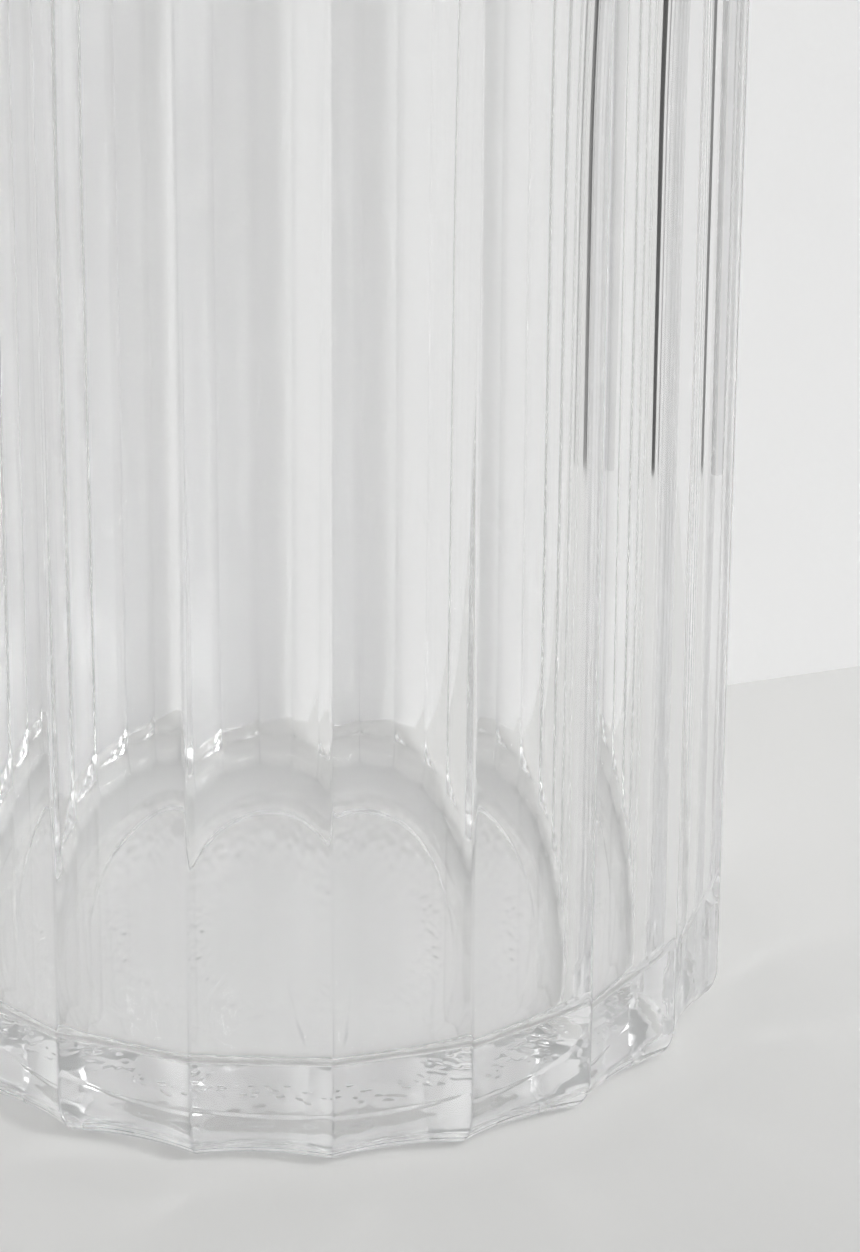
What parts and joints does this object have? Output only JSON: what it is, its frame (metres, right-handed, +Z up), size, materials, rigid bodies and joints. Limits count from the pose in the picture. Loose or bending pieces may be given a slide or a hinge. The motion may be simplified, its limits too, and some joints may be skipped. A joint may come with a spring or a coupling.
{
  "type": "decanter",
  "caption": "Tall round clear-glass decanter with a fluted wall, thick base, plain neck and flat lip, closed by a fluted glass stopper that seals on soft rings.",
  "frame": {"origin": "centre of the ring that the decanter stands on, at the surface below it", "axes": "+Z up along the axis of the vessel and of its stopper; a ridge of the fluting lies on +X and on +Y"},
  "size_m": [0.09, 0.09, 0.2672],
  "materials": {
    "clear_glass": "polished clear glass with soft fire-polished ridges",
    "clear_silicone": "satin clear silicone"
  },
  "bodies": {
    "decanter": {"decanter_body": "clear_glass"},
    "seals": {"seal_ring_1": "clear_silicone", "seal_ring_2": "clear_silicone", "seal_ring_3": "clear_silicone"},
    "stopper": {"stopper": "clear_glass"}
  },
  "joints": [
    {"name": "stopper_lift", "type": "slide", "parent": "decanter", "child": "seals", "axis": [0, 0, 1], "range_m": [0, 0.06]},
    {"name": "stopper_turn", "type": "hinge", "parent": "seals", "child": "stopper", "pos_m": [0, 0, 0.2], "axis": [0, 0, 1], "continuous": true}
  ]
}
